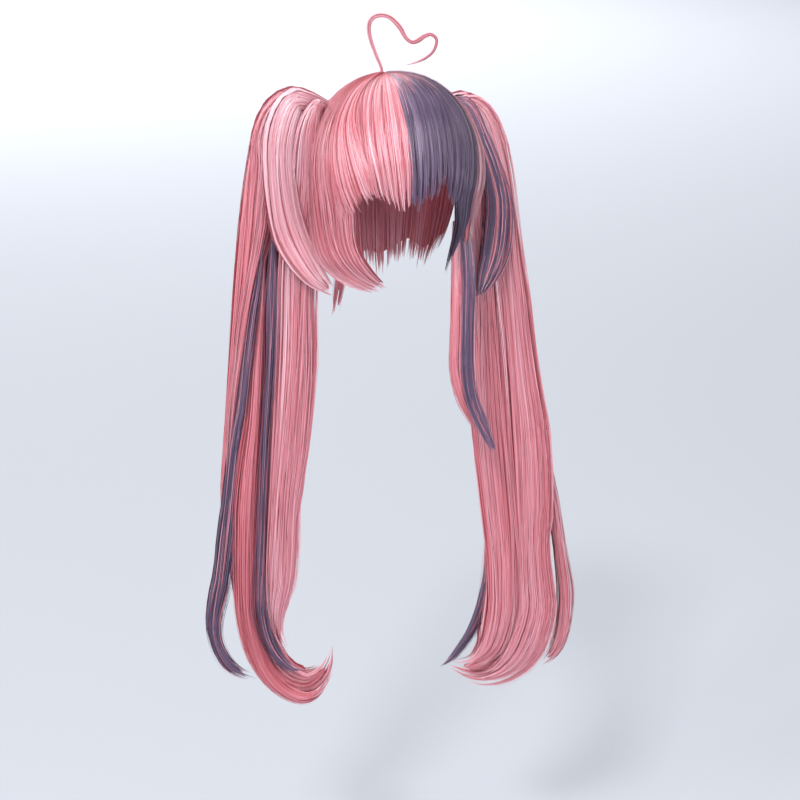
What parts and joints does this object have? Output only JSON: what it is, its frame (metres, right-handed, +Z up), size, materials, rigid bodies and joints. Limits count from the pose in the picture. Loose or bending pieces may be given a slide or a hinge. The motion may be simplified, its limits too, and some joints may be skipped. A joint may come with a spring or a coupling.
{
  "type": "twin-tail costume wig",
  "caption": "Two-colour costume wig with a full fringe, curved side locks, a bob back, clip-on curled tails and a heart-shaped strand, kept in the shape it has on a head.",
  "frame": {"origin": "inside top of the cap, where the crown of the head bears", "axes": "+Z up along the hanging tails, the face opening looks along -Y, +X towards the purple side"},
  "size_m": [0.455, 0.2171, 0.8353],
  "materials": {
    "hair_pink": "glossy straight synthetic fibre",
    "hair_purple": "glossy straight synthetic fibre",
    "cap_net": "matt elastic net with stitched wefts",
    "clip_tape": "matt stitched weft tape"
  },
  "bodies": {
    "root": {"cap": "cap_net", "fringe_pink": "hair_pink", "fringe_purple": "hair_purple", "side_lock_purple": "hair_purple", "curtain_pink": "hair_pink", "side_edge_pink": "hair_pink", "back_right": "hair_pink", "back_middle": "hair_pink", "back_left": "hair_pink", "long_lock_purple": "hair_purple", "long_lock_pink": "hair_pink", "nape_tuft": "hair_pink", "heart_strand": "hair_pink", "clip_left": "clip_tape", "clip_right": "clip_tape", "tail_left_overlay": "hair_pink", "tail_left_streak_outer": "hair_purple", "tail_left_streak_inner": "hair_purple", "tail_left_middle": "hair_pink", "tail_left_front_outer": "hair_pink", "tail_left_front_inner": "hair_pink", "tail_left_back": "hair_pink", "tail_right_overlay": "hair_purple", "tail_right_streak_back": "hair_purple", "tail_right_outer": "hair_pink", "tail_right_front_inner": "hair_pink", "tail_right_front_outer": "hair_pink", "tail_right_back": "hair_pink"}
  },
  "joints": []
}
